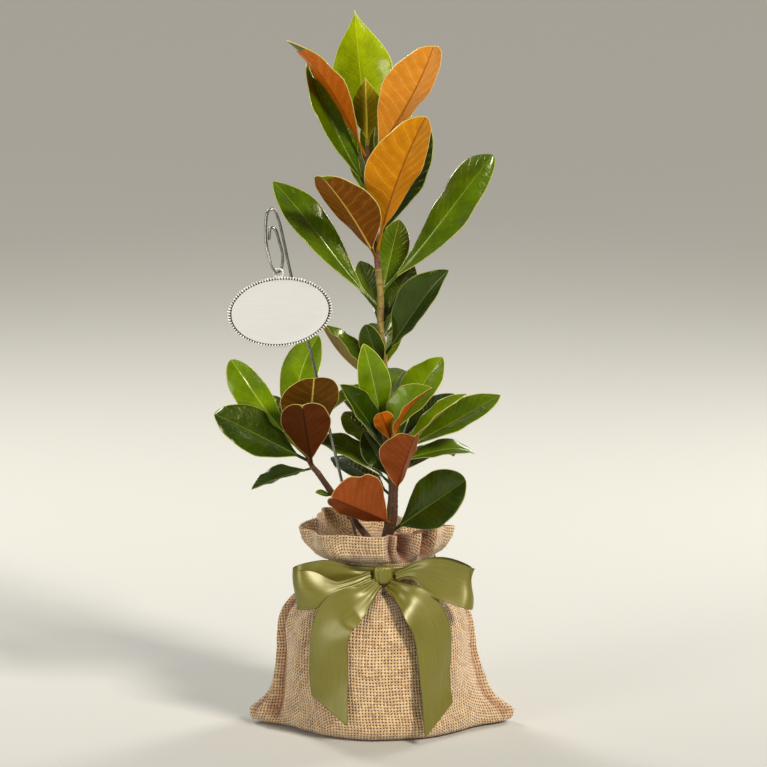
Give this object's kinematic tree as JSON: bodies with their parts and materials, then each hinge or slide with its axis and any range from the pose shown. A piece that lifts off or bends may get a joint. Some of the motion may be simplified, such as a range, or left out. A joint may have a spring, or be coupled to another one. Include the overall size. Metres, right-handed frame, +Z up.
{
  "type": "potted magnolia tree",
  "caption": "Young evergreen magnolia with large leathery leaves, standing in a tied burlap sack with a satin bow and a blank oval plaque on a wire holder.",
  "frame": {"origin": "centre of the sack's flat underside", "axes": "+Z up the trunk, -Y towards the front, where the bow is, -X towards the side of the plaque"},
  "size_m": [0.2215, 0.145, 0.5309],
  "materials": {
    "burlap": "coarse woven jute, matte",
    "soil": "loose and matte",
    "satin": "satin sheen",
    "bark": "smooth young bark with leaf scars",
    "twig_bark": "smooth reddish bark",
    "leaf": "glossy above, felted rust below",
    "plaque_metal": "brushed, silver coloured",
    "wire_metal": "polished"
  },
  "bodies": {
    "root": {"trunk": "bark", "bough_left": "twig_bark", "bough_right": "twig_bark", "leaf_trunk_01": "leaf", "leaf_trunk_02": "leaf", "leaf_trunk_03": "leaf", "leaf_trunk_04": "leaf", "leaf_trunk_05": "leaf", "leaf_trunk_06": "leaf", "leaf_trunk_07": "leaf", "leaf_trunk_08": "leaf", "leaf_trunk_09": "leaf", "leaf_trunk_10": "leaf", "leaf_trunk_11": "leaf", "leaf_trunk_12": "leaf", "leaf_trunk_13": "leaf", "leaf_trunk_14": "leaf", "leaf_trunk_15": "leaf", "leaf_trunk_16": "leaf", "leaf_back_1": "leaf", "leaf_back_2": "leaf", "leaf_back_3": "leaf", "leaf_back_4": "leaf", "leaf_low_front": "leaf", "leaf_low_right": "leaf", "leaf_low_left": "leaf", "foliage_top": "leaf", "foliage_left": "leaf", "foliage_right": "leaf", "burlap_sack": "burlap", "plaque_wire": "wire_metal", "plaque": "plaque_metal", "potting_soil": "soil", "ribbon_band": "satin", "ribbon_knot": "satin", "bow_loop_left": "satin", "bow_loop_right": "satin", "ribbon_tail_left": "satin", "ribbon_tail_right": "satin"}
  },
  "joints": []
}
